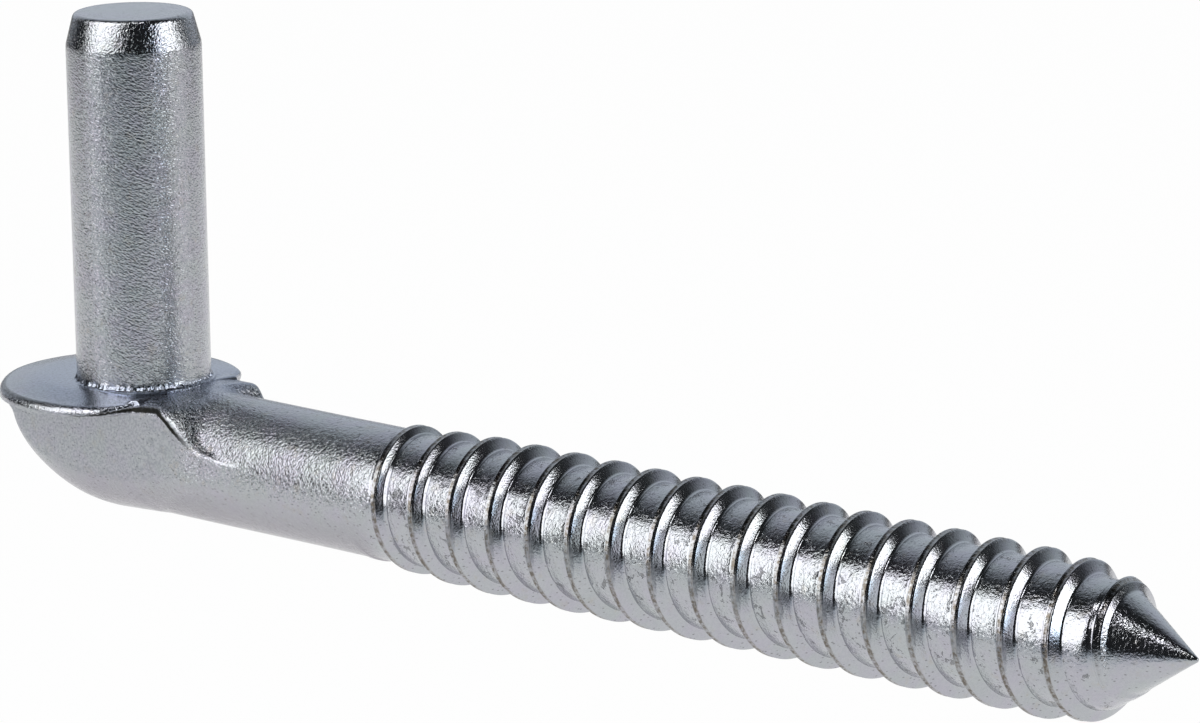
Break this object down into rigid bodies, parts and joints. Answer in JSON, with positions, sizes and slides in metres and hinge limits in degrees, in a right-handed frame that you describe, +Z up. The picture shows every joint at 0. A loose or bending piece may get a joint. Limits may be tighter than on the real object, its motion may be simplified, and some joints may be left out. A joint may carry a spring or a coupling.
{
  "type": "gate screw hook",
  "caption": "Forged gate hinge hook: an upright pin on a round flange, a boat-shaped elbow, and a round shank with a coarse wood thread and a cone point.",
  "frame": {"origin": "where the axis of the hinge pin meets the flange's seat", "axes": "+Z up the hinge pin, +X along the screw toward its point, Y across the flat sides of the elbow"},
  "size_m": [0.1682, 0.029, 0.0604],
  "materials": {
    "zinc_plated_steel": "bright zinc plate over a forged and rolled steel surface, shiny on the pin, cone and thread root, duller on the elbow's flat sides"
  },
  "bodies": {
    "root": {"screw_hook": "zinc_plated_steel"}
  },
  "joints": []
}
